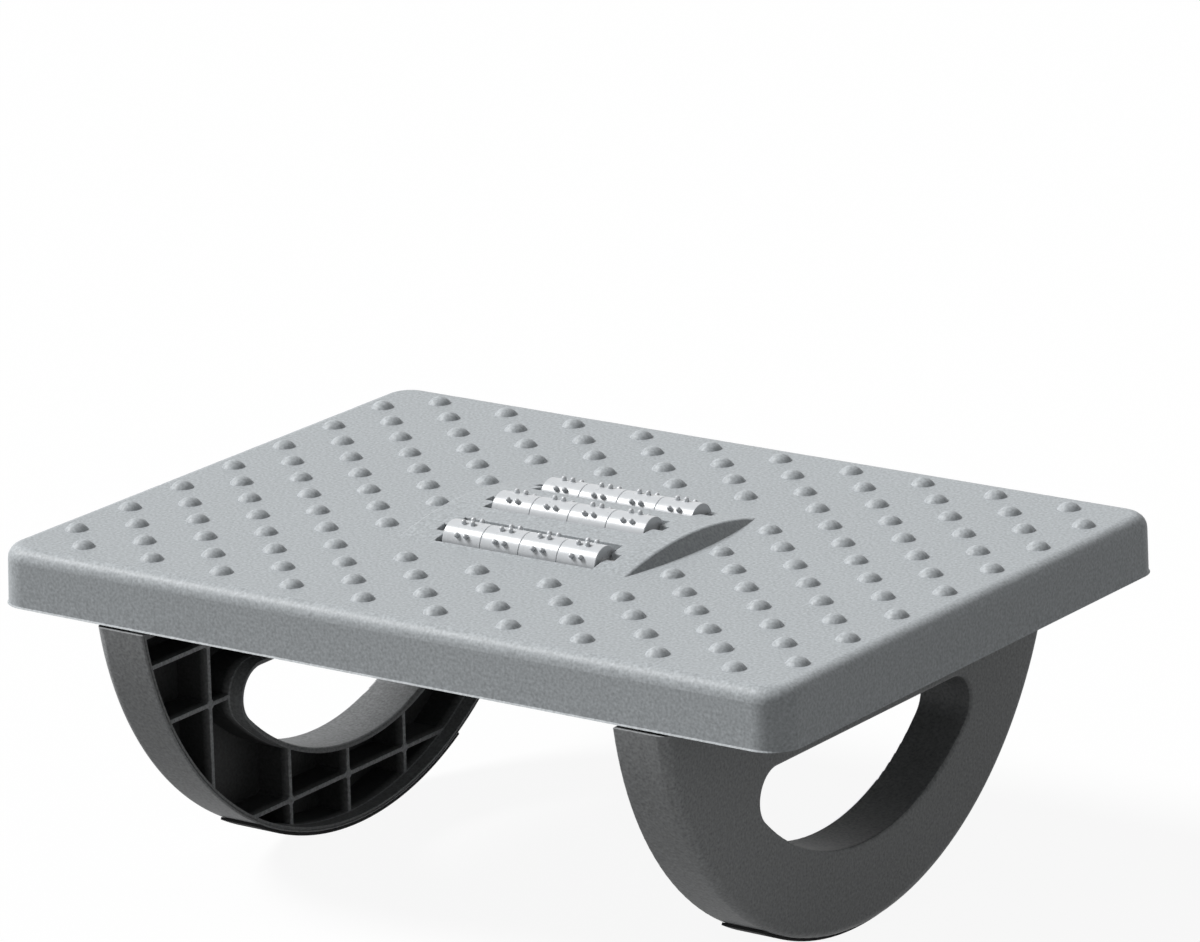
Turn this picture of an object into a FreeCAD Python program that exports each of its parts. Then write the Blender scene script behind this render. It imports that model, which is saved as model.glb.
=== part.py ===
import FreeCAD, Part
import math
import os

os.makedirs("parts", exist_ok=True)

# Rocking footrest: a ribbed deck with three rows of massage rollers, on two curved rocker legs.
# The origin is on the floor under the middle of the deck. X runs along the deck, Y to the back, Z up.
# All sizes are millimetres and all angles are degrees.

# One overrun serves every cut, and one hair of tolerance finds edges by their height
overrun = 5.0
hair = 0.01

# Rocking circle, shared by both legs and the grip strips that are taped under them
leg_radius = 164.4
tape_thickness = 0.2
strip_thickness = 1.3
top_above_centre = 0.7

# Deck: a flat plate with rounded edges and an apron that widens a little towards its lower edge
deck_length = 435.0
deck_depth = 320.0
apron_height = 28.3
apron_draft = 1.2
apron_wall = 2.6
plate_thickness = 3.0
corner_radius = 15.0
top_edge_radius = 7.0
lip_proud = 0.6
lip_height = 1.4

# Low barrel arch in the middle of the deck, with sloping crescent ends
arch_rise = 7.0
arch_chord = 108.0
arch_length = 126.0
arch_end_bulge = 6.0
arch_edge_radius = 1.5
slot_edge_radius = 0.6

# Massage domes on a staggered grid, left out over the arch
dome_pitch = 20.0
dome_base_radius = 5.6
dome_height = 3.2
dome_margin = 16.0
bare_columns = 7
bare_rows = 7

# Rollers, their axles, and the slots and seats that take them
roller_rows = 3
rollers_in_row = 4
row_pitch = 39.0
roller_radius = 9.2
roller_gap = 0.3
roller_end_gap = 1.35
roller_sink = 4.8
roller_edge = 0.3
axle_radius = 3.0
axle_edge = 0.5
running_clearance = 0.08
slot_length = 88.0
slot_width = 24.6
notch_width = 6.4
notch_length = 5.5
notch_end_clearance = 0.4
seat_clearance = 0.05
seat_wall = 2.0
seat_floor = 2.5
pinch_width = 5.2
pinch_height = 3.4
skirt_wall = 2.0
skirt_drop = 8.0

# Studs on the rollers, in pairs round the barrel: short pegs with round ends
stud_rows = 8
stud_radius = 1.4
stud_height = 2.6
stud_round = 1.1
stud_spacing = 5.0
row_turns = (15, -6, 0)

# Rocker legs: a closed outer face, a rim round it, a tube round the D-shaped hole, and ribs
leg_end_margin = 59.2
leg_thickness = 28.2
leg_skin = 2.5
leg_rim = 2.6
leg_edge_radius = 5.5
leg_lip_radius = 0.8
groove_inset = 1.0
groove_width = 0.5
groove_depth = 0.7
shoulder_gap = 1.2
shoulder_thickness = 2.5
hole_radius = 121.4
hole_centre_drop = 2.5
hole_top_drop = 67.0
hole_corner = 13.7
hole_wall = 2.5
hole_edge_radius = 2.0
hole_lip_radius = 1.5
rib_thickness = 2.0
rib_setback = 7.5
rib_crossing_radius = 2.4
weld = 0.5
upright_rib_pitch = 45.5
upright_rib_outer = 104.0
level_rib_drops = (49.6, 79.1, 143.1)

# Tongue of each leg, which plugs into the deck from below
tongue_inset = 2.0
tongue_wall = 2.5
tongue_end_clearance = 1.0
socket_clearance = 0.3
socket_wall = 2.0
socket_depth = 16.7

# Screw tabs on the inner side of each tongue, the deck bosses above them, and the screws
tab_reach = 16.0
tab_width = 14.0
tab_thickness = 3.0
tab_drop = 18.0
tab_place_shares = (-0.68, -0.24, 0.24, 0.68)
screw_inset = 8.5
screw_radius = 1.75
screw_hole_radius = 2.1
screw_length = 15.0
screw_head_radius = 3.6
screw_head_height = 2.2
screw_fit = 0.1
boss_radius = 4.0
boss_spare = 4.0

# Stiffening ribs under the deck plate
deck_rib_depth = 10.0
deck_rib_thickness = 2.0
long_rib_shares = (-0.72, -0.42, 0.42, 0.72)
cross_rib_shares = (-0.45, -0.32, 0.32, 0.45)

# Grip strips under the rims
strip_half_span = 80.0
strip_inner_inset = 0.5

# Levels that follow from the sizes above
centre_z = leg_radius + tape_thickness + strip_thickness
deck_top_z = centre_z + top_above_centre
plate_under_z = deck_top_z - plate_thickness
apron_bottom_z = deck_top_z - apron_height
arch_radius = ((arch_chord / 2) ** 2 + arch_rise ** 2) / (2 * arch_rise)
arch_axis_z = deck_top_z + arch_rise - arch_radius
shoulder_z = apron_bottom_z - shoulder_gap
hole_centre_z = centre_z - hole_centre_drop
hole_top_z = centre_z - hole_top_drop
leg_outer_x = deck_length / 2 - leg_end_margin
leg_inner_x = leg_outer_x - leg_thickness
roller_pitch = (slot_length - 2 * roller_end_gap + roller_gap) / rollers_in_row
roller_length = roller_pitch - roller_gap
tab_top_z = plate_under_z - tab_drop
tab_under_z = tab_top_z - tab_thickness
apron_lean = apron_height * math.tan(math.radians(apron_draft))
tongue_half = deck_depth / 2 - apron_lean - top_edge_radius - tongue_end_clearance
screw_x = leg_inner_x + tongue_inset - screw_inset


def point(x, y, z):
    return FreeCAD.Vector(x, y, z)


def block(x_low, x_high, y_low, y_high, z_low, z_high):
    corner = point(x_low, y_low, z_low)
    return Part.makeBox(x_high - x_low, y_high - y_low, z_high - z_low, corner)


def closed_wire(edges):
    return Part.Wire(Part.__sortEdges__(edges))


def arc(start, middle, end):
    return Part.Arc(start, middle, end).toShape()


def line(start, end):
    return Part.LineSegment(start, end).toShape()


def prism(wire, along):
    return Part.Face(wire).extrude(along)


def joined(shapes):
    return shapes[0].multiFuse(shapes[1:]).removeSplitter()


def edges_at(shape, axis, level):
    found = []
    for edge in shape.Edges:
        box = edge.BoundBox
        low = (box.XMin, box.YMin, box.ZMin)[axis]
        high = (box.XMax, box.YMax, box.ZMax)[axis]
        if abs(low - level) < hair and abs(high - level) < hair:
            found.append(edge)
    return found


def arch_height(y):
    return arch_axis_z + math.sqrt(arch_radius ** 2 - y ** 2)


def axle_z(y):
    return arch_height(y) - roller_sink


row_places = [(row - (roller_rows - 1) / 2) * row_pitch for row in range(roller_rows)]
upright_places = (-upright_rib_outer, -upright_rib_pitch, 0, upright_rib_pitch, upright_rib_outer)


# Deck shell
def rounded_rectangle(half_x, half_y, radius, z):
    corners = ((1, 1), (-1, 1), (-1, -1), (1, -1))
    edges = []
    ends = []
    slant = radius * (1 - math.sqrt(0.5))
    for sign_x, sign_y in corners:
        on_side = point(sign_x * half_x, sign_y * (half_y - radius), z)
        on_end = point(sign_x * (half_x - radius), sign_y * half_y, z)
        middle = point(sign_x * (half_x - slant), sign_y * (half_y - slant), z)
        first, last = (on_side, on_end) if sign_x == sign_y else (on_end, on_side)
        edges.append(arc(first, middle, last))
        ends.append((first, last))
    for index in range(len(ends)):
        following = ends[(index + 1) % len(ends)]
        edges.append(line(ends[index][1], following[0]))
    return closed_wire(edges)


def tray(inset, z_low, z_high, edge_radius):
    """A rounded block that narrows upwards by the apron draft, with its top edge rounded."""
    sections = []
    for z in (z_low, z_high):
        drawn_in = inset + (z - apron_bottom_z) * math.tan(math.radians(apron_draft))
        half_x = deck_length / 2 - drawn_in
        half_y = deck_depth / 2 - drawn_in
        sections.append(rounded_rectangle(half_x, half_y, corner_radius - inset, z))
    body = Part.makeLoft(sections, True, True)
    return body.makeFillet(edge_radius, edges_at(body, 2, z_high))


def arch_block(radius, half_length, base_z):
    """The barrel above base_z, cut at both ends by slanting curved walls."""
    base_half = math.sqrt(radius ** 2 - (base_z - arch_axis_z) ** 2)
    slope = arch_end_bulge / arch_rise
    foot = slope * (deck_top_z - base_z)
    reach = half_length + foot + arch_end_bulge + overrun
    left = point(-reach, -base_half, base_z)
    right = point(-reach, base_half, base_z)
    crown = point(-reach, 0, arch_axis_z + radius)
    barrel = prism(closed_wire([arc(left, crown, right), line(right, left)]), point(2 * reach, 0, 0))
    for side in (1, -1):
        tip_x = side * (half_length + foot)
        far_x = -side * reach
        front = point(tip_x, -arch_chord / 2, base_z)
        back = point(tip_x, arch_chord / 2, base_z)
        bulge = point(tip_x + side * arch_end_bulge, 0, base_z)
        far_front = point(far_x, -arch_chord / 2, base_z)
        far_back = point(far_x, arch_chord / 2, base_z)
        outline = [arc(front, bulge, back), line(back, far_back), line(far_back, far_front),
                   line(far_front, front)]
        lift = 2 * (arch_rise + deck_top_z - base_z)
        keep = prism(closed_wire(outline), point(-side * slope * lift, 0, lift))
        barrel = barrel.common(keep)
    return barrel


def arch_edges(shape, at_ends):
    """The sharp edges on top of the arch: those of its end walls, or those round the slots and notches."""
    found = []
    for edge in shape.Edges:
        middle = edge.valueAt((edge.FirstParameter + edge.LastParameter) / 2)
        places = [vertex.Point for vertex in edge.Vertexes] + [middle]
        off = max(abs(math.hypot(place.y, place.z - arch_axis_z) - arch_radius) for place in places)
        if off > hair or middle.z < deck_top_z + hair:
            continue
        far = abs(middle.x) > slot_length / 2 + notch_length + seat_wall
        if far == at_ends:
            found.append(edge)
    return found


def domes():
    sphere_radius = (dome_base_radius ** 2 + dome_height ** 2) / (2 * dome_height)
    sunk_z = deck_top_z + dome_height - sphere_radius
    last_column = int((deck_length / 2 - dome_margin) / dome_pitch)
    last_row = int((deck_depth / 2 - dome_margin) / dome_pitch)
    caps = []
    for up in range(-last_row, last_row + 1):
        for across in range(-last_column, last_column + 1):
            over_arch = abs(across) <= bare_columns // 2 and abs(up) <= bare_rows // 2
            if (across + up) % 2 or over_arch:
                continue
            centre = point(across * dome_pitch, up * dome_pitch, sunk_z)
            cap = Part.makeSphere(sphere_radius, centre, point(0, 0, 1), 0, 90, 360)
            floor = block(centre.x - sphere_radius, centre.x + sphere_radius, centre.y - sphere_radius,
                          centre.y + sphere_radius, sunk_z - hair, deck_top_z - plate_thickness / 2)
            caps.append(cap.cut(floor))
    return caps


# Roller slots, the skirts round them, and the seats that the axle ends snap into
def slot_opening(y):
    z_low = axle_z(y) - roller_radius - skirt_drop
    z_high = deck_top_z + arch_rise + overrun
    half = slot_length / 2
    return block(-half, half, y - slot_width / 2, y + slot_width / 2, z_low, z_high)


def slot_skirt(y):
    half_x = slot_length / 2 + skirt_wall
    half_y = slot_width / 2 + skirt_wall
    z_low = axle_z(y) - skirt_drop
    return block(-half_x, half_x, y - half_y, y + half_y, z_low, arch_height(abs(y) + half_y) - hair)


def axle_seats(y):
    half_y = notch_width / 2 + seat_wall
    half_x = slot_length / 2 + notch_length + seat_wall
    z_low = axle_z(y) - axle_radius - seat_floor
    return block(-half_x, half_x, y - half_y, y + half_y, z_low, arch_height(abs(y) + half_y) - hair)


def seat_notches(y):
    half_x = slot_length / 2 + notch_length
    z = axle_z(y)
    z_high = deck_top_z + arch_rise + overrun
    mouth = block(-half_x, half_x, y - notch_width / 2, y + notch_width / 2, z + pinch_height, z_high)
    throat = block(-half_x, half_x, y - pinch_width / 2, y + pinch_width / 2, z, z_high)
    bed = Part.makeCylinder(axle_radius + seat_clearance, 2 * half_x, point(-half_x, y, z), point(1, 0, 0))
    return [mouth, throat, bed]


# Hidden side of the deck
def leg_sockets():
    """Two walls for each leg that hold its tongue, and the bosses for its screws."""
    inner_x = leg_inner_x + tongue_inset - socket_clearance
    outer_x = leg_outer_x - tongue_inset + socket_clearance
    z_low = plate_under_z - socket_depth
    z_high = plate_under_z + plate_thickness / 2
    pieces = []
    for side in (1, -1):
        for wall_x in (inner_x - socket_wall, outer_x):
            ends = sorted((side * wall_x, side * (wall_x + socket_wall)))
            pieces.append(block(ends[0], ends[1], -tongue_half, tongue_half, z_low, z_high))
        for share in tab_place_shares:
            foot = point(side * screw_x, share * tongue_half, tab_top_z)
            pieces.append(Part.makeCylinder(boss_radius, z_high - tab_top_z, foot))
    return pieces


def pilot_holes():
    depth = screw_length - tab_thickness + boss_spare / 4
    holes = []
    for side in (1, -1):
        for share in tab_place_shares:
            foot = point(side * screw_x, share * tongue_half, tab_top_z)
            holes.append(Part.makeCylinder(screw_radius + screw_fit, depth, foot))
    return holes


def deck_ribs():
    """Ribs under the plate, clear of the tongues of the legs, that end just inside the apron's wall."""
    z_low = plate_under_z - deck_rib_depth
    z_high = plate_under_z + weld
    half = deck_rib_thickness / 2
    end_x = deck_length / 2
    end_y = deck_depth / 2
    inside = tray(apron_wall - weld, apron_bottom_z, z_high, top_edge_radius - apron_wall + weld)
    inner_x = leg_inner_x + tongue_inset - socket_clearance - socket_wall / 2
    outer_x = leg_outer_x - tongue_inset + socket_clearance + socket_wall / 2
    pieces = []
    for share in long_rib_shares:
        y = share * deck_depth / 2
        for x_low, x_high in ((-end_x, -outer_x), (-inner_x, inner_x), (outer_x, end_x)):
            pieces.append(block(x_low, x_high, y - half, y + half, z_low, z_high))
    for share in cross_rib_shares:
        x = share * deck_length / 2
        pieces.append(block(x - half, x + half, -end_y, end_y, z_low, z_high))
    return [piece.common(inside) for piece in pieces]


def deck():
    outside = tray(0, apron_bottom_z, deck_top_z, top_edge_radius)
    lip_sections = []
    for proud, z in ((lip_proud, apron_bottom_z), (-lip_proud, apron_bottom_z + lip_height)):
        half_x = deck_length / 2 + proud
        half_y = deck_depth / 2 + proud
        lip_sections.append(rounded_rectangle(half_x, half_y, corner_radius + proud, z))
    lip = Part.makeLoft(lip_sections, True, True)
    cavity = tray(apron_wall, apron_bottom_z - overrun, plate_under_z, top_edge_radius - apron_wall)
    under_arch = arch_block(arch_radius - plate_thickness, arch_length / 2 - plate_thickness, plate_under_z)
    above_arch = arch_block(arch_radius, arch_length / 2, deck_top_z - plate_thickness / 2)
    shell = joined([outside, lip, above_arch]).cut([cavity, under_arch])
    rows = []
    openings = []
    for y in row_places:
        rows += [slot_skirt(y), axle_seats(y)]
        openings += [slot_opening(y)] + seat_notches(y)
    shell = shell.multiFuse(rows).cut(openings)
    shell = shell.makeFillet(slot_edge_radius, arch_edges(shell, False))
    shell = shell.makeFillet(arch_edge_radius, arch_edges(shell, True))
    return shell.multiFuse(leg_sockets() + deck_ribs() + domes()).cut(pilot_holes())


# Rollers and axles
def axle(y):
    half = slot_length / 2 + notch_length - notch_end_clearance
    rod = Part.makeCylinder(axle_radius, 2 * half, point(-half, y, axle_z(y)), point(1, 0, 0))
    ends = edges_at(rod, 0, -half) + edges_at(rod, 0, half)
    return rod.makeChamfer(axle_edge, ends)


def roller():
    """A roller on the X axis, round the origin."""
    half = roller_length / 2
    barrel = Part.makeCylinder(roller_radius, roller_length, point(-half, 0, 0), point(1, 0, 0))
    barrel = barrel.makeFillet(roller_edge, edges_at(barrel, 0, -half) + edges_at(barrel, 0, half))
    peg = Part.makeCylinder(stud_radius, stud_height + weld, point(0, 0, roller_radius - weld))
    peg = peg.makeFillet(stud_round, edges_at(peg, 2, roller_radius + stud_height))
    studs = []
    for row in range(stud_rows):
        for side in (-1, 1):
            stud = peg.copy()
            stud.rotate(point(0, 0, 0), point(1, 0, 0), row * 360 / stud_rows)
            stud.translate(point(side * stud_spacing / 2, 0, 0))
            studs.append(stud)
    bore_radius = axle_radius + running_clearance
    bore_start = point(-half - overrun, 0, 0)
    bore = Part.makeCylinder(bore_radius, roller_length + 2 * overrun, bore_start, point(1, 0, 0))
    return barrel.multiFuse(studs).cut(bore)


def on_axle(shape, y, number, row_turn):
    """A copy of the roller in its place on an axle, turned as its row is."""
    placed = shape.copy()
    placed.rotate(point(0, 0, 0), point(1, 0, 0), row_turn)
    placed.translate(point((number - (rollers_in_row - 1) / 2) * roller_pitch, y, axle_z(y)))
    return placed


# Rocker legs
def hole_wire(offset, x):
    """The D-shaped hole's outline, grown by the offset, in the plane at x."""
    radius = hole_radius + offset
    corner = hole_corner + offset
    top = hole_top_z + offset
    corner_z = top - corner
    drop = corner_z - hole_centre_z
    corner_y = math.sqrt((radius - corner) ** 2 - drop ** 2)
    tangent_y = corner_y * radius / (radius - corner)
    tangent_z = hole_centre_z + drop * radius / (radius - corner)
    turn = (math.pi / 2 + math.atan2(drop, corner_y)) / 2
    edges = []
    for side in (1, -1):
        flat_end = point(x, side * corner_y, top)
        middle = point(x, side * (corner_y + corner * math.cos(turn)), corner_z + corner * math.sin(turn))
        edges.append(arc(flat_end, middle, point(x, side * tangent_y, tangent_z)))
    bottom = point(x, 0, hole_centre_z - radius)
    edges.append(arc(point(x, tangent_y, tangent_z), bottom, point(x, -tangent_y, tangent_z)))
    edges.append(line(point(x, -corner_y, top), point(x, corner_y, top)))
    return closed_wire(edges)


def rocker_wire(radius, top_z, x):
    half = math.sqrt(radius ** 2 - (top_z - centre_z) ** 2)
    left = point(x, -half, top_z)
    right = point(x, half, top_z)
    bottom = point(x, 0, centre_z - radius)
    return closed_wire([arc(left, bottom, right), line(right, left)])


def leg_ribs():
    """An upright and level grid with round pads at its crossings, between the rim and the tube."""
    x_low = leg_inner_x + rib_setback
    x_high = leg_outer_x - leg_skin + weld
    half = rib_thickness / 2
    pieces = []
    for y in upright_places:
        pieces.append(block(x_low, x_high, y - half, y + half, 0, shoulder_z))
    for drop in level_rib_drops:
        z = centre_z - drop
        pieces.append(block(x_low, x_high, -leg_radius, leg_radius, z - half, z + half))
        for y in upright_places:
            pad = Part.makeCylinder(rib_crossing_radius, x_high - x_low, point(x_low, y, z), point(1, 0, 0))
            pieces.append(pad)
    width = point(x_high - x_low, 0, 0)
    inside = prism(rocker_wire(leg_radius - leg_rim + weld, shoulder_z, x_low), width)
    tube = prism(hole_wire(hole_wall - weld, x_low), width)
    return joined(pieces).common(inside).cut(tube)


def leg_tongue():
    """The tongue's block, its hollow, the tabs and ribs inside it, and the holes for the screws."""
    x_low = leg_inner_x + tongue_inset
    x_high = leg_outer_x - tongue_inset
    wall_x = x_high - tongue_wall + weld
    ledge_z = shoulder_z - shoulder_thickness
    body = block(x_low, x_high, -tongue_half, tongue_half, ledge_z, plate_under_z)
    half = tab_width / 2
    added = []
    holes = []
    for share in tab_place_shares:
        y = share * tongue_half
        added.append(block(x_low - tab_reach, wall_x, y - half, y + half, tab_under_z, tab_top_z))
        foot = point(screw_x, y, tab_under_z - overrun)
        holes.append(Part.makeCylinder(screw_hole_radius, tab_thickness + 2 * overrun, foot))
    thin = rib_thickness / 2
    rib_x = leg_inner_x + rib_setback
    roof_z = plate_under_z - tongue_wall
    for y in upright_places:
        added.append(block(rib_x, wall_x, y - thin, y + thin, shoulder_z, roof_z + weld))
    end = tongue_half - tongue_wall
    hollow = block(x_low - overrun, x_high - tongue_wall, -end, end, ledge_z - overrun, roof_z)
    return body, hollow, added, holes


def hole_edges(body, x):
    """The edges of the D-shaped hole in the leg's face at x."""
    bottom_z = hole_centre_z - hole_radius
    found = []
    for edge in edges_at(body, 0, x):
        box = edge.BoundBox
        if box.ZMin > bottom_z - hair and box.ZMax < hole_top_z + hair:
            found.append(edge)
    return found


def rim_groove():
    """The fine groove along the rim's open edge."""
    start_x = leg_inner_x - overrun
    along = point(groove_depth + overrun, 0, 0)
    ring = prism(rocker_wire(leg_radius - groove_inset, shoulder_z, start_x), along)
    core = prism(rocker_wire(leg_radius - groove_inset - groove_width, shoulder_z, start_x), along)
    return ring.cut(core)


def right_leg():
    body = prism(rocker_wire(leg_radius, shoulder_z, leg_inner_x), point(leg_thickness, 0, 0))
    for x, radius in ((leg_outer_x, leg_edge_radius), (leg_inner_x, leg_lip_radius)):
        rim = [edge for edge in edges_at(body, 0, x) if edge.BoundBox.ZMin < shoulder_z - hair]
        body = body.makeFillet(radius, rim)
    body = body.cut(prism(hole_wire(0, leg_inner_x - overrun), point(leg_thickness + 2 * overrun, 0, 0)))
    body = body.makeFillet(hole_edge_radius, hole_edges(body, leg_outer_x))
    body = body.makeFillet(hole_lip_radius, hole_edges(body, leg_inner_x))
    start_x = leg_inner_x - overrun
    depth = point(leg_thickness - leg_skin + overrun, 0, 0)
    space = prism(rocker_wire(leg_radius - leg_rim, shoulder_z - shoulder_thickness, start_x), depth)
    space = space.cut(prism(hole_wire(hole_wall, start_x - overrun), depth + point(2 * overrun, 0, 0)))
    tongue, hollow, added, holes = leg_tongue()
    leg = joined([body, tongue]).cut([space, hollow, rim_groove()])
    return joined([leg, leg_ribs()] + added).cut(holes)


# Grip strips and screws
def right_strip():
    """A strip taped under the rim, with the tape's thickness left free between them."""
    x_low = leg_inner_x + strip_inner_inset
    x_high = leg_outer_x - leg_edge_radius
    inner_radius = leg_radius + tape_thickness
    spread = math.asin(strip_half_span / leg_radius)
    ends = []
    for radius in (inner_radius, inner_radius + strip_thickness):
        for side in (-1, 1):
            y = side * radius * math.sin(spread)
            ends.append(point(x_low, y, centre_z - radius * math.cos(spread)))
    inner_left, inner_right, outer_left, outer_right = ends
    inner_bottom = point(x_low, 0, centre_z - inner_radius)
    outer_bottom = point(x_low, 0, 0)
    outline = [arc(inner_left, inner_bottom, inner_right), line(inner_right, outer_right),
               arc(outer_left, outer_bottom, outer_right), line(outer_left, inner_left)]
    return prism(closed_wire(outline), point(x_high - x_low, 0, 0))


def right_screws():
    screws = []
    for share in tab_place_shares:
        y = share * tongue_half
        foot = point(screw_x, y, tab_under_z)
        head_foot = foot - point(0, 0, screw_head_height)
        head = Part.makeCylinder(screw_head_radius, screw_head_height, head_foot)
        rim = edges_at(head, 2, head_foot.z)
        head = head.makeFillet(screw_head_height / 2, rim)
        shaft = Part.makeCylinder(screw_radius, screw_length, foot)
        screws.append(joined([head, shaft]))
    return Part.makeCompound(screws)


def mirrored(shape):
    return shape.mirror(point(0, 0, 0), point(1, 0, 0))


row_names = ("front", "middle", "rear")
nodes = {"deck": deck()}
nodes["right_leg"] = right_leg()
nodes["right_grip_strip"] = right_strip()
nodes["right_leg_screws"] = right_screws()
for name in ("leg", "grip_strip", "leg_screws"):
    nodes["left_" + name] = mirrored(nodes["right_" + name])
plain_roller = roller()
for row_name, place, row_turn in zip(row_names, row_places, row_turns):
    nodes[row_name + "_axle"] = axle(place)
    for number in range(rollers_in_row):
        nodes[row_name + "_roller_" + str(number + 1)] = on_axle(plain_roller, place, number, row_turn)

for name, shape in nodes.items():
    shape.exportStep(os.path.join("parts", name + ".step"))
    print(name, "solids", len(shape.Solids), "valid", shape.isValid(), "volume", round(shape.Volume))
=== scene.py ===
import math

import bpy
from mathutils import Matrix, Vector


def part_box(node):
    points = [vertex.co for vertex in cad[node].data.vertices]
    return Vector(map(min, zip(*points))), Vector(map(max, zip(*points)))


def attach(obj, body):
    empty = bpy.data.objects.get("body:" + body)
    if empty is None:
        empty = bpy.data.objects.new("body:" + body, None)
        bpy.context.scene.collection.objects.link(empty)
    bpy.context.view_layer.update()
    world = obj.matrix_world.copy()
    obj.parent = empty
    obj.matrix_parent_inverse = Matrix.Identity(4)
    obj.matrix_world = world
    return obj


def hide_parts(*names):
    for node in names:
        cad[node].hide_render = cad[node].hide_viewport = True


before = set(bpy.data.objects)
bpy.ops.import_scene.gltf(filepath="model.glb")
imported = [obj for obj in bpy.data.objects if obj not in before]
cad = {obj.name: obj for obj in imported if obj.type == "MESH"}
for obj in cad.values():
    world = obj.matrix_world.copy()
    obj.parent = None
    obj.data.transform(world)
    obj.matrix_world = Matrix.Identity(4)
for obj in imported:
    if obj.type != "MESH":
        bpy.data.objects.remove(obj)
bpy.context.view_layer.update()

# Floor and room. The footrest stands on a wide sheet of white paper in a white room. Seen directly, or in a
# shiny surface, both are white. Their bounce light is low, so that shaded sides stay dark, and the paper
# keeps a soft pale shadow. From below the paper is clear, so that the underside can be looked at.
paper_half = 6.0
paper_white = 0.95
paper_bounce = 0.25
shadow_depth = 0.08
room_glow = 0.20
white = (1.0, 1.0, 1.0, 1.0)


def fill(tree, node, inputs):
    """Links each input of a node to the socket given for it, or sets it to the value given."""
    for key, value in inputs.items():
        if isinstance(value, bpy.types.NodeSocket):
            tree.links.new(value, node.inputs[key])
        else:
            node.inputs[key].default_value = value


def put(tree, kind, inputs=None, **settings):
    """Adds a node to a tree, sets its properties and fills its inputs."""
    node = tree.nodes.new(kind)
    for name, value in settings.items():
        setattr(node, name, value)
    fill(tree, node, inputs or {})
    return node


def made(tree, kind, inputs=None, **settings):
    """The first output of a node that is added to a tree."""
    return put(tree, kind, inputs, **settings).outputs[0]


def maths(tree, operation, *values, **settings):
    """A Math node's result for the values or sockets given."""
    return made(tree, "ShaderNodeMath", dict(enumerate(values)), operation=operation, **settings)


def mixed(tree, share, first, second):
    """Two shaders mixed: the first where the share is 0, the second where it is 1."""
    return made(tree, "ShaderNodeMixShader", {0: share, 1: first, 2: second})


def seen_directly(tree):
    """1 for camera, mirror and glass rays, 0 for bounce light."""
    path = put(tree, "ShaderNodeLightPath").outputs
    mirrored = maths(tree, "MAXIMUM", path["Is Glossy Ray"], path["Is Transmission Ray"])
    return maths(tree, "MAXIMUM", path["Is Camera Ray"], mirrored)


room = bpy.data.worlds.new("white_room")
bpy.context.scene.world = room
room.use_nodes = True
air = room.node_tree
air.nodes.clear()
dim_air = made(air, "ShaderNodeBackground", {"Color": white, "Strength": room_glow})
bright_air = made(air, "ShaderNodeBackground", {"Color": white, "Strength": 1.0})
put(air, "ShaderNodeOutputWorld", {"Surface": mixed(air, seen_directly(air), dim_air, bright_air)})

paper_finish = bpy.data.materials.new("white_paper")
paper_finish.use_nodes = True
sheet = paper_finish.node_tree
sheet.nodes.clear()
shaded = made(sheet, "ShaderNodeBsdfDiffuse", {"Color": (paper_white, paper_white, paper_white, 1.0)})
bounce = made(sheet, "ShaderNodeBsdfDiffuse", {"Color": (paper_bounce, paper_bounce, paper_bounce, 1.0)})
glow = made(sheet, "ShaderNodeEmission", {"Color": white, "Strength": 1.0})
clear = made(sheet, "ShaderNodeBsdfTransparent")
pale = mixed(sheet, shadow_depth, glow, shaded)
from_above = mixed(sheet, seen_directly(sheet), bounce, pale)
underside = put(sheet, "ShaderNodeNewGeometry").outputs["Backfacing"]
put(sheet, "ShaderNodeOutputMaterial", {"Surface": mixed(sheet, underside, from_above, clear)})

paper_mesh = bpy.data.meshes.new("paper_floor")
paper_corners = [(-paper_half, -paper_half, 0.0), (paper_half, -paper_half, 0.0),
                 (paper_half, paper_half, 0.0), (-paper_half, paper_half, 0.0)]
paper_mesh.from_pydata(paper_corners, [], [(0, 1, 2, 3)])
paper_mesh.materials.append(paper_finish)
paper = bpy.data.objects.new("paper_floor", paper_mesh)
bpy.context.scene.collection.objects.link(paper)

# Lamp. One large soft window light, from the left and a little to the front, as the shading of the domes
# and of the raised middle's end wall shows.
window_azimuth = math.radians(-70.0)
window_elevation = math.radians(44.0)
window_level = 3.65
window_softness = math.radians(18.0)


def direction(azimuth, elevation):
    """Points away from the footrest, so far round to the right of the front, and so far up."""
    return Vector((math.sin(azimuth) * math.cos(elevation), -math.cos(azimuth) * math.cos(elevation),
                   math.sin(elevation)))


window_back = direction(window_azimuth, window_elevation)
window = bpy.data.lights.new("window_light", "SUN")
window.energy = window_level
window.angle = window_softness
window_lamp = bpy.data.objects.new("window_light", window)
window_lamp.location = window_back
window_lamp.rotation_mode = "QUATERNION"
window_lamp.rotation_quaternion = window_back.to_track_quat("Z", "Y")
bpy.context.scene.collection.objects.link(window_lamp)

# Camera. A long lens that looks down on the near right corner, with the frame a little rolled. Its place and
# angles were solved from the grid of domes, the edges of the deck and the legs.
aim = Vector((0.0048, 0.0122, 0.1914))
camera_azimuth = math.radians(35.061)
camera_elevation = math.radians(16.270)
camera_roll = math.radians(1.384)
camera_distance = 3.3948
lens_mm = 220.44
far_clip = 50.0

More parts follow.
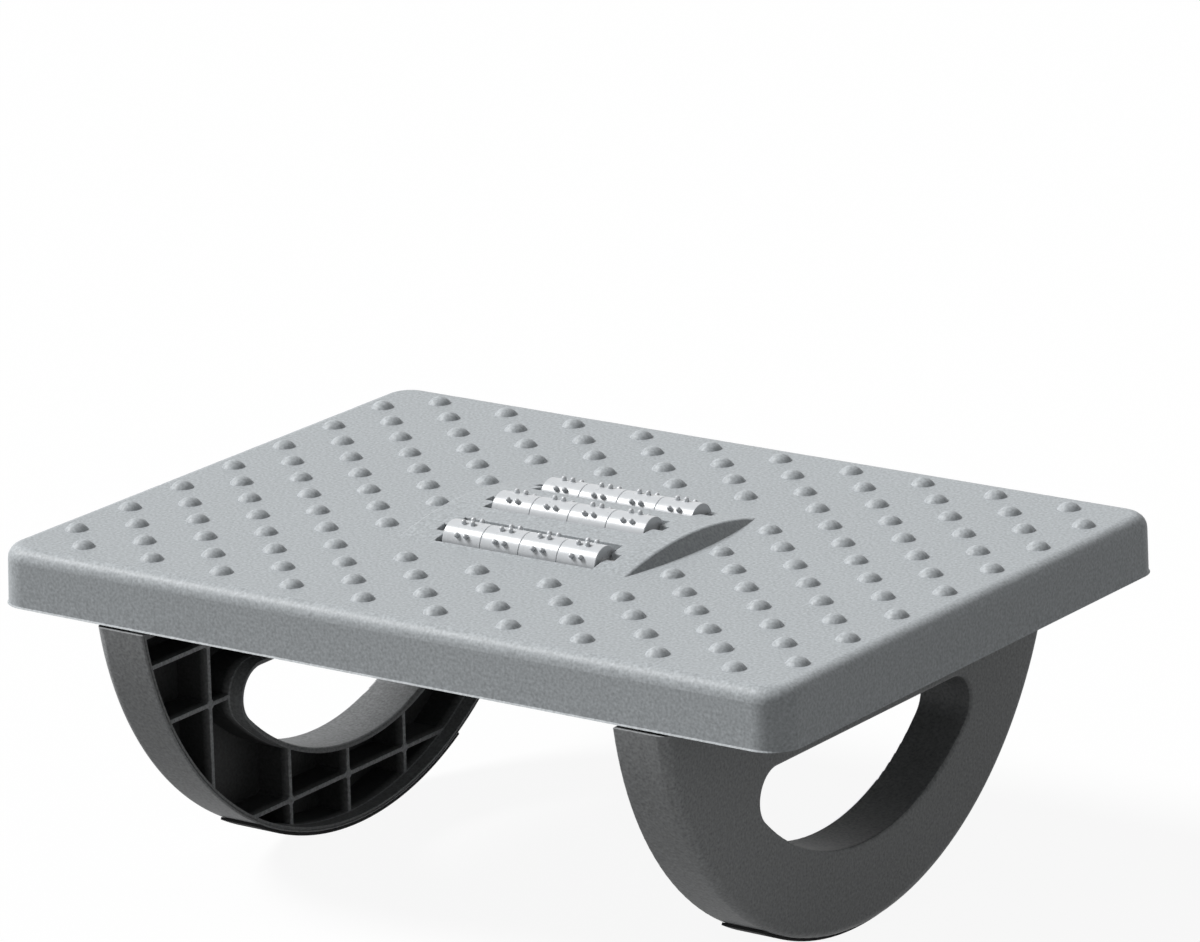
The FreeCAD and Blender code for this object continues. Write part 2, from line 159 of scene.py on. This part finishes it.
camera_back = direction(camera_azimuth, camera_elevation)
level = Vector((math.cos(camera_azimuth), math.sin(camera_azimuth), 0.0))
camera_right = level * math.cos(camera_roll) + level.cross(camera_back) * math.sin(camera_roll)
camera_up = camera_back.cross(camera_right)
lens = bpy.data.cameras.new("camera")
lens.lens = lens_mm
lens.clip_end = far_clip
camera = bpy.data.objects.new("camera", lens)
camera_turn = Matrix((camera_right, camera_up, camera_back)).transposed().to_4x4()
camera.matrix_world = Matrix.Translation(aim + camera_back * camera_distance) @ camera_turn
bpy.context.scene.collection.objects.link(camera)
bpy.context.scene.camera = camera
bpy.context.scene.view_settings.view_transform = "Standard"

# Deck. One injection moulding in mid grey plastic, with a fine spark-eroded grain on every face. Feet polish
# the crowns of the domes, the crest of the raised middle and the rounded rim a little brighter and smoother.
# The end walls of the raised middle are painted darker, as painted shade.
deck_grey = (0.405, 0.430, 0.446)
deck_look = {"Roughness": 0.52, "Cloud": 0.030, "Speckle": 0.500, "Grain Size": 0.0014}
deck_shine = 0.32
deck_rub_light = 1.06
deck_rub_gloss = 0.04
arch_rise = 0.007
arch_half_length = 0.070
arch_half_width = 0.056
crown_start = 0.0016
crown_end = 0.0031
crest_share = 0.5
rim_width = 0.0055
rim_full = rim_width / 3
rub_patch = 0.018
# Painted shade: how much darker the raised middle's end walls are painted, and for which facings.
end_wall_painted_shade = 0.30
end_wall_start = 0.35
end_wall_end = 0.75
pattern_middle = 0.5
grain_detail = 2.0
cloud_scale = 16.0
cloud_detail = 3.0
uneven_gloss = 0.06
grain_strength = 0.30
grain_height = 0.00010
patch_detail = 4.0
patch_start = 0.30
patch_end = 0.62
patch_least = 0.35


def new_group(name, kind, inputs, outputs):
    """An empty node group with named sockets, and its input and output nodes."""
    tree = bpy.data.node_groups.new(name, kind)
    for label, socket, start in inputs:
        added = tree.interface.new_socket(name=label, in_out="INPUT", socket_type="NodeSocket" + socket)
        if start is not None:
            added.default_value = start
    for label, socket in outputs:
        tree.interface.new_socket(name=label, in_out="OUTPUT", socket_type="NodeSocket" + socket)
    return tree, tree.nodes.new("NodeGroupInput").outputs, tree.nodes.new("NodeGroupOutput")


def noise(tree, place, scale, detail):
    """A cloudy pattern whose clouds are about 1 / scale metres wide."""
    return made(tree, "ShaderNodeTexNoise", {"Vector": place, "Scale": scale, "Detail": detail})


def swing(tree, pattern, amount):
    """How far a pattern is from its middle, times an amount."""
    return maths(tree, "MULTIPLY", maths(tree, "SUBTRACT", pattern, pattern_middle), amount)


def scaled(tree, vector, factor):
    """A colour or a vector times a number."""
    return made(tree, "ShaderNodeVectorMath", {0: vector, "Scale": factor}, operation="SCALE")


def ramp(tree, value, low, high, start=0.0, end=1.0):
    """The start up to the low value, the end from the high value on, and an even slope between them."""
    return made(tree, "ShaderNodeMapRange", {0: value, 1: low, 2: high, 3: start, 4: end})


def all_of(tree, *masks):
    """The mask of the places that all the masks share."""
    shared = masks[0]
    for mask in masks[1:]:
        shared = maths(tree, "MULTIPLY", shared, mask)
    return shared


def moulded_grain():
    """The look of a moulded surface: cloudy and speckled colour, uneven gloss and a fine grain."""
    inputs = (("Colour", "Color", None), ("Roughness", "Float", 0.0), ("Cloud", "Float", 0.0),
              ("Speckle", "Float", 0.0), ("Grain Size", "Float", 1.0),
              ("Uneven Gloss", "Float", uneven_gloss))
    outputs = (("Colour", "Color"), ("Roughness", "Float"), ("Height", "Float"))
    tree, given, result = new_group("moulded_grain", "ShaderNodeTree", inputs, outputs)
    place = put(tree, "ShaderNodeTexCoord").outputs["Object"]
    grain = noise(tree, place, maths(tree, "DIVIDE", 1.0, given["Grain Size"]), grain_detail)
    cloud = noise(tree, place, cloud_scale, cloud_detail)
    swings = maths(tree, "ADD", swing(tree, grain, given["Speckle"]), swing(tree, cloud, given["Cloud"]))
    tone = maths(tree, "MULTIPLY_ADD", swings, 1.0 / pattern_middle, 1.0)
    gloss = swing(tree, cloud, given["Uneven Gloss"])
    fill(tree, result, {"Colour": scaled(tree, given["Colour"], tone), "Height": grain,
                        "Roughness": maths(tree, "ADD", given["Roughness"], gloss)})
    return tree


def worn_patches():
    """Breaks a smooth mask of the places that get rubbed into uneven patches."""
    inputs = (("Places", "Float", 0.0), ("Patch Size", "Float", 1.0))
    tree, given, result = new_group("worn_patches", "ShaderNodeTree", inputs, (("Worn", "Float"),))
    place = put(tree, "ShaderNodeTexCoord").outputs["Object"]
    patches = noise(tree, place, maths(tree, "DIVIDE", 1.0, given["Patch Size"]), patch_detail)
    uneven = ramp(tree, patches, patch_start, patch_end, patch_least)
    fill(tree, result, {"Worn": maths(tree, "MULTIPLY", given["Places"], uneven, use_clamp=True)})
    return tree


grain_group = moulded_grain()
worn_group = worn_patches()


def new_finish(name):
    """A new material with its Principled shader, and the object's own coordinates."""
    finish = bpy.data.materials.new(name)
    finish.use_nodes = True
    tree = finish.node_tree
    place = put(tree, "ShaderNodeTexCoord").outputs["Object"]
    return finish, tree, tree.nodes["Principled BSDF"], place


def from_middle(tree, place):
    """How far a place is from the footrest's middle along it and across it, and its height."""
    axes = put(tree, "ShaderNodeSeparateXYZ", {0: place}).outputs
    return maths(tree, "ABSOLUTE", axes["X"]), maths(tree, "ABSOLUTE", axes["Y"]), axes["Z"]


def facing_an_end(tree):
    """1 where a face looks along the footrest, and 0 where it looks up, down, forwards or backwards."""
    facing = put(tree, "ShaderNodeNewGeometry").outputs["Normal"]
    return maths(tree, "ABSOLUTE", put(tree, "ShaderNodeSeparateXYZ", {0: facing}).outputs["X"])


def moulded_plastic(tree, shader, look, colour, shine, places, patch_size, rub_light, rub_gloss):
    """Wires a moulded look to a shader, brighter or darker and smoother in the places that get rubbed."""
    surface = put(tree, "ShaderNodeGroup", {"Colour": colour, **look}, node_tree=grain_group).outputs
    worn = made(tree, "ShaderNodeGroup", {"Places": places, "Patch Size": patch_size}, node_tree=worn_group)
    lift = maths(tree, "MULTIPLY_ADD", worn, rub_light - 1.0, 1.0)
    gloss = maths(tree, "MULTIPLY", worn, rub_gloss)
    grain = made(tree, "ShaderNodeBump", {"Strength": grain_strength, "Distance": grain_height,
                                          "Height": surface["Height"]})
    fill(tree, shader, {"Base Color": scaled(tree, surface["Colour"], lift), "Normal": grain,
                        "Roughness": maths(tree, "SUBTRACT", surface["Roughness"], gloss),
                        "Specular IOR Level": shine})


def dress(node, finish):
    """Gives a CAD node its finish, and leaves its mesh as it is."""
    cad[node].data.materials.clear()
    cad[node].data.materials.append(finish)


deck_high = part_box("deck")[1]
deck_top = deck_high.z - arch_rise
deck_finish, tree, shader, place = new_finish("deck_grey_plastic")
along, across, height = from_middle(tree, place)
in_length = maths(tree, "LESS_THAN", along, arch_half_length)
in_width = maths(tree, "LESS_THAN", across, arch_half_width)
on_arch = all_of(tree, in_length, in_width)
off_arch = maths(tree, "SUBTRACT", 1.0, on_arch)
domes = all_of(tree, ramp(tree, height, deck_top + crown_start, deck_top + crown_end), off_arch)
crest = all_of(tree, on_arch, ramp(tree, height, deck_top + arch_rise / 2, deck_high.z))
ends = ramp(tree, along, deck_high.x - rim_width, deck_high.x - rim_full)
sides = ramp(tree, across, deck_high.y - rim_width, deck_high.y - rim_full)
high = ramp(tree, height, deck_top - rim_width, deck_top - rim_full)
rim = all_of(tree, maths(tree, "MAXIMUM", ends, sides), high)
rubbed_crest = maths(tree, "MULTIPLY", crest, crest_share)
deck_places = maths(tree, "MAXIMUM", maths(tree, "MAXIMUM", domes, rim), rubbed_crest)
# Painted shade: the end walls of the raised middle are painted darker, standing in for the shade on them.
painted_shade_end_walls = all_of(tree, on_arch, ramp(tree, facing_an_end(tree), end_wall_start, end_wall_end))
deck_painted_shade_tone = maths(tree, "MULTIPLY_ADD", painted_shade_end_walls, -end_wall_painted_shade, 1.0)
moulded_plastic(tree, shader, deck_look, scaled(tree, deck_grey, deck_painted_shade_tone), deck_shine,
                deck_places, rub_patch, deck_rub_light, deck_rub_gloss)
dress("deck", deck_finish)

# Axles. Three plain steel rods, turned and cut to length, that are pressed from above into snap seats at the
# ends of the slots. Turning leaves fine rings round them.
axle_steel = (0.60, 0.60, 0.59)
axle_tones = (0.88, 1.06)
axle_roughness = (0.26, 0.42)
ring_size = 0.0003
ring_drift = 20.0
ring_detail = 3.0
ring_strength = 0.25
ring_height = 0.00003
tone_limits = (0.3, 0.7)
gloss_limits = (0.2, 0.8)


def mottled(tree, shader, colour, pattern, limits, tones, roughness):
    """Wires a pattern to a shader's colour, in tones between its limits, and to its roughness."""
    fill(tree, shader, {"Base Color": scaled(tree, colour, ramp(tree, pattern, *limits, *tones)),
                        "Roughness": ramp(tree, pattern, *gloss_limits, *roughness)})


axle_finish, tree, shader, place = new_finish("turned_steel")
stretch = (1.0 / ring_size, ring_drift, ring_drift)
stretched = made(tree, "ShaderNodeMapping", {"Vector": place, "Scale": stretch})
rings = noise(tree, stretched, 1.0, ring_detail)
mottled(tree, shader, axle_steel, rings, tone_limits, axle_tones, axle_roughness)
ring_bump = made(tree, "ShaderNodeBump", {"Strength": ring_strength, "Distance": ring_height,
                                          "Height": rings})
fill(tree, shader, {"Normal": ring_bump, "Metallic": 1.0})
for row in ("front", "middle", "rear"):
    dress(row + "_axle", axle_finish)

# Rollers. Twelve short white barrels, four on each axle, moulded in smooth plastic with pairs of small round
# studs in rows round them. They spin freely, and each row has come to rest at its own turn.
roller_white = (0.590, 0.610, 0.630, 1.0)
roller_look = {"Roughness": 0.30, "Cloud": 0.02, "Speckle": 0.02, "Grain Size": 0.0009}
roller_shine = 0.85
roller_rub_light = 0.97
roller_rub_gloss = 0.05
roller_patch = 0.006
dust_scale = 220.0
dust_detail = 4.0
dust_start = 0.45
dust_end = 0.75
rollers_in_row = 4
roller_length = 0.0212
roller_radius = 0.0092
bore_radius = 0.00308
roller_edge = 0.0003
edge_steps = 4
barrel_sides = 72
sharp_bend = math.radians(10.0)
stud_radius = 0.0012
stud_height = 0.0021
stud_round = 0.0011
stud_root = 0.0004
stud_sides = 12
stud_rings = 4
stud_spacing = 0.0050
stud_rows = 8
studs_in_row = 2
rest_turns = {"front": math.radians(15.0), "middle": math.radians(-6.0), "rear": 0.0}


def input_keys(tree):
    """The identifier of each of a tree's inputs, by its name."""
    return {item.name: item.identifier for item in tree.interface.items_tree
            if item.item_type == "SOCKET" and item.in_out == "INPUT"}


def grown(name, tree, values):
    """Runs a tree on an empty object and keeps what it makes as that object's plain mesh."""
    piece = bpy.data.objects.new(name, bpy.data.meshes.new(name))
    modifier = piece.modifiers.new("make", "NODES")
    modifier.node_group = tree
    keys = input_keys(tree)
    for label, value in values.items():
        modifier[keys[label]] = value
    bpy.context.scene.collection.objects.link(piece)
    evaluated = piece.evaluated_get(bpy.context.evaluated_depsgraph_get())
    mesh = bpy.data.meshes.new_from_object(evaluated)
    piece.modifiers.remove(modifier)
    mesh.name = name
    piece.data = mesh
    return piece


def joined(tree, *shapes):
    """Several shapes as one."""
    whole = put(tree, "GeometryNodeJoinGeometry")
    for shape in shapes:
        tree.links.new(shape, whole.inputs[0])
    return whole.outputs[0]


def end_tree(tree, result, shape, finish):
    """Ends a tree: its copies are made real, and they get their finish."""
    real = made(tree, "GeometryNodeRealizeInstances", {0: shape})
    painted = made(tree, "GeometryNodeSetMaterial", {"Geometry": real, "Material": finish})
    tree.links.new(painted, result.inputs[0])


def barrel_with_studs():
    """A hollow barrel along X with rounded ends, and pairs of studs in rows round it."""
    inputs = (("Length", "Float", roller_length), ("Radius", "Float", roller_radius),
              ("Bore Radius", "Float", bore_radius), ("Edge Radius", "Float", roller_edge),
              ("Sides", "Int", barrel_sides), ("Stud Rows", "Int", stud_rows),
              ("Stud Radius", "Float", stud_radius), ("Stud Height", "Float", stud_height),
              ("Stud Round", "Float", stud_round), ("Stud Root", "Float", stud_root),
              ("Stud Sides", "Int", stud_sides), ("Stud Spacing", "Float", stud_spacing),
              ("Turn", "Float", 0.0), ("Place", "Vector", None), ("Finish", "Material", None))
    tree, given, result = new_group("barrel_with_studs", "GeometryNodeTree", inputs,
                                    (("Geometry", "Geometry"),))
    # The wall's section, swept round the bore, with smooth sides and crisp ends
    wall = maths(tree, "SUBTRACT", given["Radius"], given["Bore Radius"])
    section = made(tree, "GeometryNodeCurvePrimitiveQuadrilateral",
                   {"Width": wall, "Height": given["Length"]})
    rounded = made(tree, "GeometryNodeFilletCurve", {"Curve": section, "Radius": given["Edge Radius"],
                                                     "Count": edge_steps}, mode="POLY")
    middle = maths(tree, "MULTIPLY", maths(tree, "ADD", given["Radius"], given["Bore Radius"]), 0.5)
    rail = made(tree, "GeometryNodeCurvePrimitiveCircle", {"Resolution": given["Sides"], "Radius": middle})
    barrel = made(tree, "GeometryNodeCurveToMesh", {"Curve": rail, "Profile Curve": rounded})
    bend_there = put(tree, "GeometryNodeInputMeshEdgeAngle").outputs["Unsigned Angle"]
    gentle = maths(tree, "LESS_THAN", bend_there, sharp_bend)
    even = made(tree, "GeometryNodeSetShadeSmooth", {0: barrel}, domain="FACE")
    crisp = made(tree, "GeometryNodeSetShadeSmooth", {0: even, "Shade Smooth": gentle}, domain="EDGE")
    laid = made(tree, "GeometryNodeTransform", {"Geometry": crisp, "Rotation": (0.0, math.pi / 2, 0.0)})
    # One stud: a cylinder whose first ring is its straight side, and whose other rings make its round end
    peg = made(tree, "GeometryNodeMeshCylinder",
               {"Vertices": given["Stud Sides"], "Side Segments": stud_rings,
                "Radius": given["Stud Radius"], "Depth": 1.0})
    spot = put(tree, "ShaderNodeSeparateXYZ", {0: made(tree, "GeometryNodeInputPosition")}).outputs
    ring = maths(tree, "MULTIPLY_ADD", spot["Z"], stud_rings, stud_rings / 2)
    past_side = maths(tree, "MAXIMUM", maths(tree, "SUBTRACT", ring, 1.0), 0.0)
    bend = maths(tree, "MULTIPLY", past_side, math.pi / 2 / (stud_rings - 1))
    root = maths(tree, "SUBTRACT", given["Radius"], given["Stud Root"])
    whole_height = maths(tree, "ADD", given["Stud Height"], given["Stud Root"])
    straight = maths(tree, "SUBTRACT", whole_height, given["Stud Round"])
    side_top = maths(tree, "MULTIPLY_ADD", maths(tree, "MINIMUM", ring, 1.0), straight, root)
    up = maths(tree, "MULTIPLY_ADD", given["Stud Round"], maths(tree, "SINE", bend), side_top)
    inwards = maths(tree, "SUBTRACT", 1.0, maths(tree, "COSINE", bend))
    drawn_in = maths(tree, "MULTIPLY", inwards, given["Stud Round"])
    taper = maths(tree, "SUBTRACT", 1.0, maths(tree, "DIVIDE", drawn_in, given["Stud Radius"]))
    rounded_spot = made(tree, "ShaderNodeCombineXYZ", {0: maths(tree, "MULTIPLY", spot["X"], taper),
                                                       1: maths(tree, "MULTIPLY", spot["Y"], taper), 2: up})
    shaped = made(tree, "GeometryNodeSetPosition", {"Geometry": peg, "Position": rounded_spot})
    stud = made(tree, "GeometryNodeSetShadeSmooth", {0: shaped})
    # The studs of all rows: their places along the barrel, each row leant on by one step round it
    number = made(tree, "GeometryNodeInputIndex")
    row = maths(tree, "FLOOR", maths(tree, "DIVIDE", number, studs_in_row))
    step = maths(tree, "DIVIDE", 2 * math.pi, given["Stud Rows"])
    lean = made(tree, "ShaderNodeCombineXYZ", {0: maths(tree, "MULTIPLY_ADD", row, step, given["Turn"])})
    in_row = maths(tree, "SUBTRACT", maths(tree, "MODULO", number, studs_in_row), (studs_in_row - 1) / 2)
    centre = made(tree, "ShaderNodeCombineXYZ", {0: maths(tree, "MULTIPLY", in_row, given["Stud Spacing"])})
    count = maths(tree, "MULTIPLY", given["Stud Rows"], studs_in_row)
    centres = made(tree, "GeometryNodePoints", {"Count": count, "Position": centre})
    studs = made(tree, "GeometryNodeInstanceOnPoints",
                 {"Points": centres, "Instance": stud, "Rotation": lean})
    placed = made(tree, "GeometryNodeTransform", {"Geometry": joined(tree, laid, studs),
                                                  "Translation": given["Place"]})
    end_tree(tree, result, placed, given["Finish"])
    return tree


roller_finish, tree, shader, place = new_finish("white_satin_plastic")
dust = ramp(tree, noise(tree, place, dust_scale, dust_detail), dust_start, dust_end)
moulded_plastic(tree, shader, roller_look, roller_white, roller_shine,
                dust, roller_patch, roller_rub_light, roller_rub_gloss)

roller_tree = barrel_with_studs()
for row, turn in rest_turns.items():
    axle_low, axle_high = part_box(row + "_axle")
    axle_y = (axle_low.y + axle_high.y) / 2
    axle_z = (axle_low.z + axle_high.z) / 2
    for number in range(1, rollers_in_row + 1):
        node = row + "_roller_" + str(number)
        node_low, node_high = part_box(node)
        centre = ((node_low.x + node_high.x) / 2, axle_y, axle_z)
        roller = grown(node + "_barrel", roller_tree,
                       {"Turn": turn, "Place": centre, "Finish": roller_finish})
        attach(roller, node)
        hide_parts(node)

# Legs. Two rocker legs, each one moulding in darker grey plastic: a closed outer face, a curved rim, a tube
# round the D-shaped hole and a grid of ribs, open to the inside. A hollow tongue plugs each leg into the deck
# from below. The cells between the ribs and the sides of the hole are painted darker as painted shade, and
# the ribs' own faces are painted paler as painted light.
leg_grey = (0.305, 0.313, 0.318)
leg_look = {"Roughness": 0.56, "Cloud": 0.04, "Speckle": 0.62, "Grain Size": 0.0014}
leg_shine = 0.25
leg_rub_light = 1.12
leg_rub_gloss = 0.06
leg_centre_z = 0.1659
leg_rim_radius = 0.1644
leg_wall = 0.0026
leg_inner_x = 0.1301
leg_outer_x = 0.1583
leg_edge_band = 0.0045
leg_face_full = leg_edge_band / 2
leg_rim_full = leg_edge_band / 3
hole_centre_z = 0.1634
hole_radius = 0.1214
hole_top_z = 0.0989
hole_corner = 0.0137
hole_wall = 0.0022
# Painted shade: how much darker the sides of the hole and the deep cells between the ribs are painted.
hole_painted_shade = 0.40
rib_depth = 0.0078
rib_face_depth = 0.0068
rib_face_end = 0.0079
# Painted light: how much paler the ribs' front faces are painted.
rib_face_painted_light = 0.70
cell_depth = 0.0125
cell_painted_shade = 0.80
mask_skin = 0.0003
sideways_limit = 0.5


def distance(tree, y, z, centre_y, centre_z):
    """How far a place is from a line along X."""
    away = made(tree, "ShaderNodeCombineXYZ", {0: maths(tree, "SUBTRACT", y, centre_y),
                                               1: maths(tree, "SUBTRACT", z, centre_z)})
    return put(tree, "ShaderNodeVectorMath", {0: away}, operation="LENGTH").outputs["Value"]


def outside_hole(tree, across, height, wall):
    """1 outside the D-shaped hole with its rounded corners, which is grown by a wall."""
    corner_z = hole_top_z - hole_corner
    corner_reach = hole_radius - hole_corner
    corner_drop = hole_centre_z - corner_z
    corner_y = math.sqrt(corner_reach ** 2 - corner_drop ** 2)
    hole_distance = distance(tree, across, height, 0.0, hole_centre_z)
    beside = maths(tree, "GREATER_THAN", hole_distance, hole_radius + wall)
    above = maths(tree, "GREATER_THAN", height, hole_top_z + wall)
    past_y = maths(tree, "SUBTRACT", across, corner_y)
    past_z = maths(tree, "SUBTRACT", height, corner_z)
    rise = maths(tree, "MULTIPLY", past_z, corner_y / corner_reach)
    lean = maths(tree, "MULTIPLY_ADD", past_y, corner_drop / corner_reach, rise)
    in_corner = all_of(tree, maths(tree, "GREATER_THAN", past_y, 0.0), maths(tree, "GREATER_THAN", lean, 0.0))
    corner_distance = distance(tree, across, height, corner_y, corner_z)
    far = maths(tree, "GREATER_THAN", corner_distance, hole_corner + wall)
    return maths(tree, "MAXIMUM", maths(tree, "MAXIMUM", beside, above), all_of(tree, in_corner, far))


leg_finish, tree, shader, place = new_finish("leg_grey_plastic")
along, across, height = from_middle(tree, place)
radius = distance(tree, across, height, 0.0, leg_centre_z)
inside_rim = maths(tree, "LESS_THAN", radius, leg_rim_radius - leg_wall + mask_skin)
inside = all_of(tree, outside_hole(tree, across, height, hole_wall), inside_rim)
# Painted shade: the deep cells between the ribs are painted darker.
deep = ramp(tree, along, leg_inner_x + rib_depth, leg_inner_x + cell_depth)
not_face = maths(tree, "LESS_THAN", along, leg_outer_x - leg_wall / 2)
painted_shade_cells = all_of(tree, inside, deep, not_face)
# Painted light: the ribs' front faces are painted paler.
past_lip = maths(tree, "GREATER_THAN", along, leg_inner_x + rib_face_depth)
before_cells = maths(tree, "LESS_THAN", along, leg_inner_x + rib_face_end)
painted_light_rib_faces = all_of(tree, past_lip, before_cells, inside)
# Painted shade: the sides of the hole's tube are painted darker.
in_hole = maths(tree, "SUBTRACT", 1.0, outside_hole(tree, across, height, mask_skin))
painted_shade_hole_sides = all_of(tree, in_hole, maths(tree, "LESS_THAN", facing_an_end(tree), sideways_limit))
rib_painted_light_tone = maths(tree, "MULTIPLY_ADD", painted_light_rib_faces, rib_face_painted_light, 1.0)
cell_painted_shade_tone = maths(tree, "MULTIPLY_ADD", painted_shade_cells, -cell_painted_shade, rib_painted_light_tone)
leg_painted_light_and_shade_tone = maths(tree, "MULTIPLY_ADD", painted_shade_hole_sides, -hole_painted_shade, cell_painted_shade_tone)
face_band = ramp(tree, along, leg_outer_x - leg_edge_band, leg_outer_x - leg_face_full)
rim_band = ramp(tree, radius, leg_rim_radius - leg_edge_band, leg_rim_radius - leg_rim_full)
moulded_plastic(tree, shader, leg_look, scaled(tree, leg_grey, leg_painted_light_and_shade_tone), leg_shine,
                all_of(tree, face_band, rim_band), rub_patch, leg_rub_light, leg_rub_gloss)
dress("left_leg", leg_finish)
dress("right_leg", leg_finish)

# Screws. Four pan-head screws hold each leg, driven up through the tabs on its tongue into bosses under the
# deck. They are zinc-plated steel with a cross recess. The tabs stand in two pairs, a near one and a far one,
# at shares of the tongue's half length from its middle.
screw_zinc = (0.62, 0.61, 0.57)
screw_tones = (0.85, 1.08)
screw_roughness = (0.28, 0.45)
fleck_scale = 1500.0
fleck_detail = 3.0
screws_in_row = 4
screw_head_radius = 0.0036
screw_head_height = 0.0022
screw_shank_radius = 0.00170
screw_length = 0.0150
straight_share = 0.8
recess_length = 0.0036
recess_width = 0.00075
recess_depth = 0.0016
tip_radius = recess_width / 4
head_sides = 32
head_rings = 16
shank_sides = 24
lid_share = 3.0
near_tab = 0.24
far_tab = 0.68
inner_gap = 2 * near_tab / (far_tab - near_tab)


def raised(tree, shape, rise):
    """A shape, moved up."""
    place = made(tree, "ShaderNodeCombineXYZ", {2: rise})
    return made(tree, "GeometryNodeTransform", {"Geometry": shape, "Translation": place})


def block(tree, length, width, depth):
    """A block round the origin."""
    size = made(tree, "ShaderNodeCombineXYZ", {0: length, 1: width, 2: depth})
    return made(tree, "GeometryNodeMeshCube", {"Size": size})


def pan_head_screws():
    """A row of screws that point up, evenly spaced apart from the gap in the middle of the row."""
    inputs = (("Head Radius", "Float", screw_head_radius), ("Head Height", "Float", screw_head_height),
              ("Shank Radius", "Float", screw_shank_radius), ("Length", "Float", screw_length),
              ("Recess Length", "Float", recess_length), ("Recess Width", "Float", recess_width),
              ("Recess Depth", "Float", recess_depth), ("Count", "Int", screws_in_row),
              ("First", "Vector", None), ("Step", "Vector", None),
              ("Gap Share", "Float", 0.0), ("Finish", "Material", None))
    tree, given, result = new_group("pan_head_screws", "GeometryNodeTree", inputs,
                                    (("Geometry", "Geometry"),))
    # The head: the lower half of a flattened ball, less two bars for the cross recess
    ball = made(tree, "GeometryNodeMeshUVSphere", {"Segments": head_sides, "Rings": head_rings,
                                                   "Radius": given["Head Radius"]})
    squeeze = maths(tree, "DIVIDE", given["Head Height"], given["Head Radius"])
    flat = made(tree, "ShaderNodeCombineXYZ", {0: 1.0, 1: 1.0, 2: squeeze})
    dome = made(tree, "GeometryNodeTransform", {"Geometry": ball, "Scale": flat})
    wide = maths(tree, "MULTIPLY", given["Head Radius"], lid_share)
    lid = raised(tree, block(tree, wide, wide, wide), maths(tree, "MULTIPLY", wide, 0.5))
    deep = maths(tree, "MULTIPLY", given["Recess Depth"], 2.0)
    crown = maths(tree, "MULTIPLY", given["Head Height"], -1.0)
    bar = raised(tree, block(tree, given["Recess Length"], given["Recess Width"], deep), crown)
    cross_bar = raised(tree, block(tree, given["Recess Width"], given["Recess Length"], deep), crown)
    cuts = joined(tree, lid, bar, cross_bar)
    head = made(tree, "GeometryNodeMeshBoolean", {"Mesh 1": dome, "Mesh 2": cuts}, operation="DIFFERENCE")
    # The shank and its tapered tip
    straight = maths(tree, "MULTIPLY", given["Length"], straight_share)
    shank = made(tree, "GeometryNodeMeshCylinder", {"Vertices": shank_sides, "Radius": given["Shank Radius"],
                                                    "Depth": straight})
    shank_up = raised(tree, shank, maths(tree, "MULTIPLY", straight, 0.5))
    tip_length = maths(tree, "SUBTRACT", given["Length"], straight)
    tip = made(tree, "GeometryNodeMeshCone", {"Vertices": shank_sides, "Radius Top": tip_radius,
                                              "Radius Bottom": given["Shank Radius"], "Depth": tip_length})
    screw = joined(tree, head, shank_up, raised(tree, tip, straight))
    # The row
    number = made(tree, "GeometryNodeInputIndex")
    past_middle = maths(tree, "GREATER_THAN", number, (screws_in_row - 1) / 2)
    steps = maths(tree, "ADD", number, maths(tree, "MULTIPLY", past_middle, given["Gap Share"]))
    walk = scaled(tree, given["Step"], steps)
    spot = made(tree, "ShaderNodeVectorMath", {0: given["First"], 1: walk}, operation="ADD")
    spots = made(tree, "GeometryNodePoints", {"Count": given["Count"], "Position": spot})
    row = made(tree, "GeometryNodeInstanceOnPoints", {"Points": spots, "Instance": screw})
    end_tree(tree, result, row, given["Finish"])
    return tree


screw_finish, tree, shader, place = new_finish("zinc_plated_steel")
flecks = noise(tree, place, fleck_scale, fleck_detail)
mottled(tree, shader, screw_zinc, flecks, tone_limits, screw_tones, screw_roughness)
fill(tree, shader, {"Metallic": 1.0})

screw_tree = pan_head_screws()
for side in ("left", "right"):
    low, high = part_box(side + "_leg_screws")
    first_y = low.y + screw_head_radius
    last_y = high.y - screw_head_radius
    step = (last_y - first_y) / (screws_in_row - 2 + inner_gap)
    first = ((low.x + high.x) / 2, first_y, low.z + screw_head_height)
    screws = grown(side + "_screw_row", screw_tree,
                   {"First": first, "Step": (0.0, step, 0.0), "Gap Share": inner_gap - 1.0,
                    "Finish": screw_finish})
    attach(screws, "frame")
    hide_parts(side + "_leg_screws")

# Grip strips. A thin strip of black rubber is taped under each rim, where the leg rocks on the floor. Its
# pebbled surface is dull, and uneven patches of dust make it paler.
rubber_black = (0.020, 0.020, 0.021)
rubber_tone_limits = (0.35, 0.75)
rubber_tones = (0.8, 1.9)
rubber_roughness = (0.78, 0.92)
rubber_shine = 0.25
smear_scale = 90.0
smear_detail = 4.0
pebble_size = 0.0008
pebble_strength = 0.4
pebble_height = 0.0001

grip_finish, tree, shader, place = new_finish("black_rubber")
smears = noise(tree, place, smear_scale, smear_detail)
mottled(tree, shader, rubber_black, smears, rubber_tone_limits, rubber_tones, rubber_roughness)
pebbles = made(tree, "ShaderNodeTexVoronoi", {"Vector": place, "Scale": 1.0 / pebble_size})
pebble_bump = made(tree, "ShaderNodeBump", {"Strength": pebble_strength, "Distance": pebble_height,
                                            "Height": pebbles})
fill(tree, shader, {"Normal": pebble_bump, "Specular IOR Level": rubber_shine})
dress("left_grip_strip", grip_finish)
dress("right_grip_strip", grip_finish)
